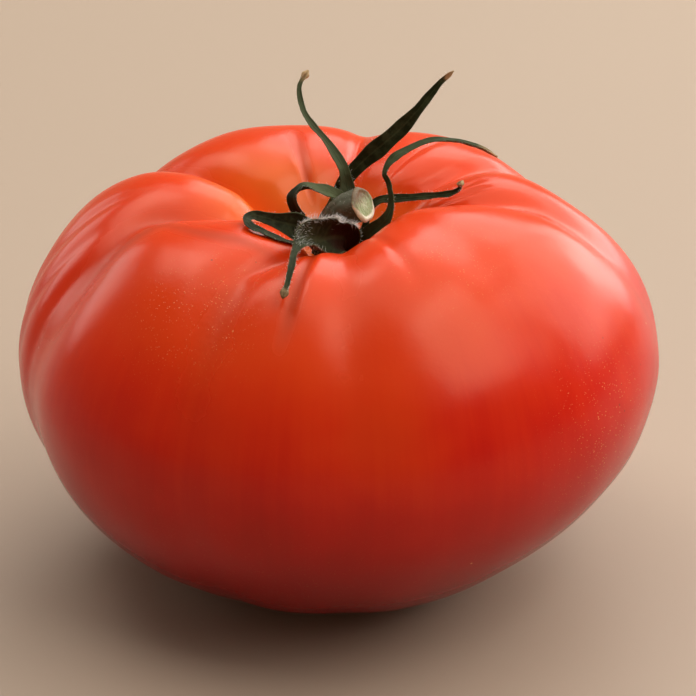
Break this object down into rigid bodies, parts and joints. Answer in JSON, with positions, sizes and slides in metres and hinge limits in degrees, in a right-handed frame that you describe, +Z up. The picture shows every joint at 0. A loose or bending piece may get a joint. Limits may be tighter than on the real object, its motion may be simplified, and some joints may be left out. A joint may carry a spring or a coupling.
{
  "type": "tomato",
  "caption": "Ribbed beefsteak tomato as picked: a broad red fruit with a deep stem cavity, the cut stump of its stalk, and a calyx of thin, curled, hairy green sepals.",
  "frame": {"origin": "on the surface that the fruit rests on, at the middle of the whole object's width and depth", "axes": "+Z up out of the stem cavity, +X along the fruit's widest way, +Y from the front, where the longest groove runs down, to the back"},
  "size_m": [0.0902, 0.084, 0.0712],
  "materials": {
    "skin": "smooth, waxy, glossy fruit skin, red with an orange stem cavity",
    "stalk": "fuzzy, dull olive green bark with a pale, moist cut end",
    "sepal": "thin, dull dark green leaf, downy with pale hairs, dry and tan at the tips"
  },
  "bodies": {
    "root": {"fruit": "skin", "stalk": "stalk", "sepal_front": "sepal", "sepal_front_left": "sepal", "sepal_left": "sepal", "sepal_back_left": "sepal", "sepal_back": "sepal", "sepal_right": "sepal", "sepal_front_right": "sepal"}
  },
  "joints": []
}
